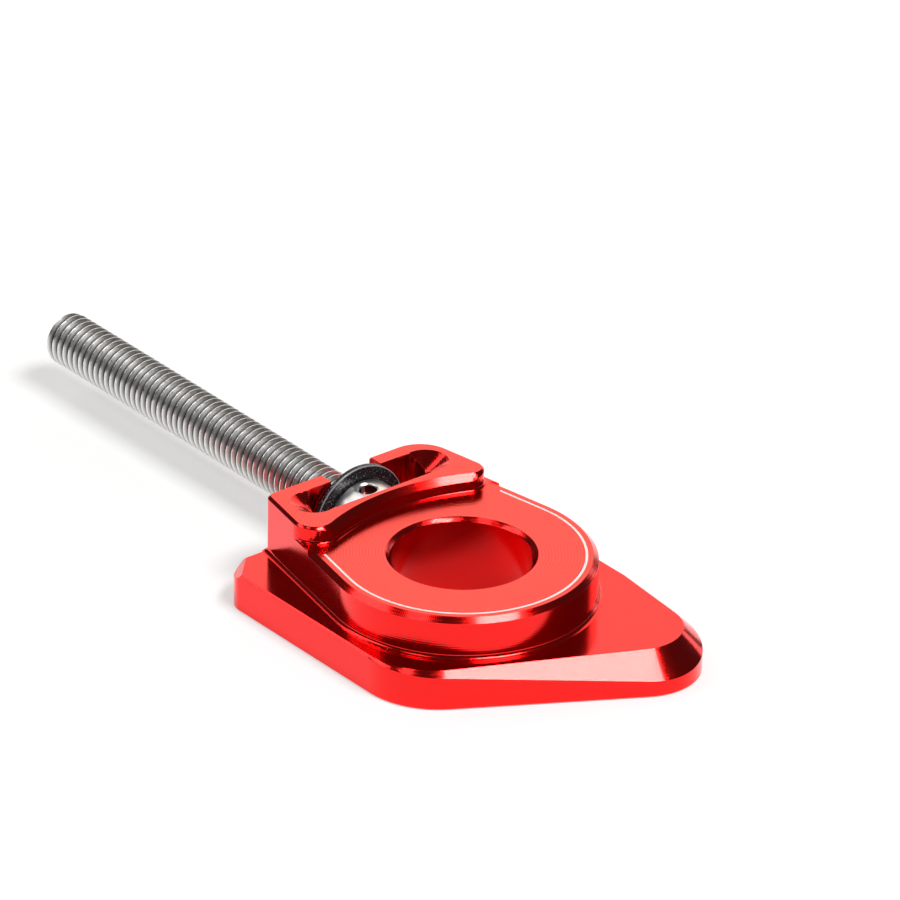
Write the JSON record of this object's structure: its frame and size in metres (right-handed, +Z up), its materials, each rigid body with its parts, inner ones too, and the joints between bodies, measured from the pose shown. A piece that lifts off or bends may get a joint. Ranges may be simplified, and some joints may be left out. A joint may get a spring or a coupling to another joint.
{
  "type": "motorcycle chain adjuster",
  "caption": "Chain adjuster block with a bore for the rear axle, and a threaded spindle turned by a trapped wheel with radial tool holes.",
  "frame": {"origin": "centre of the axle bore on the underside", "axes": "+Z up along the bore axis, +X along the spindle toward the slanted tip, so the threaded end points to -X"},
  "size_m": [0.1246, 0.0432, 0.0158],
  "materials": {
    "red_anodised": "bright anodised, milled",
    "stainless": "rolled thread",
    "polished_steel": "polished",
    "black_washer": "blackened, slightly worn"
  },
  "bodies": {
    "block": {"axle_block": "red_anodised"},
    "spindle": {"threaded_spindle": "stainless", "adjusting_wheel": "polished_steel"},
    "washer": {"thrust_washer": "black_washer"}
  },
  "joints": [
    {"name": "spindle_spin", "type": "hinge", "parent": "block", "child": "spindle", "pos_m": [-0.02, 0, 0.008], "axis": [1, 0, 0], "continuous": true},
    {"name": "washer_spin", "type": "hinge", "parent": "block", "child": "washer", "pos_m": [-0.02335, 0, 0.008], "axis": [1, 0, 0], "continuous": true}
  ]
}
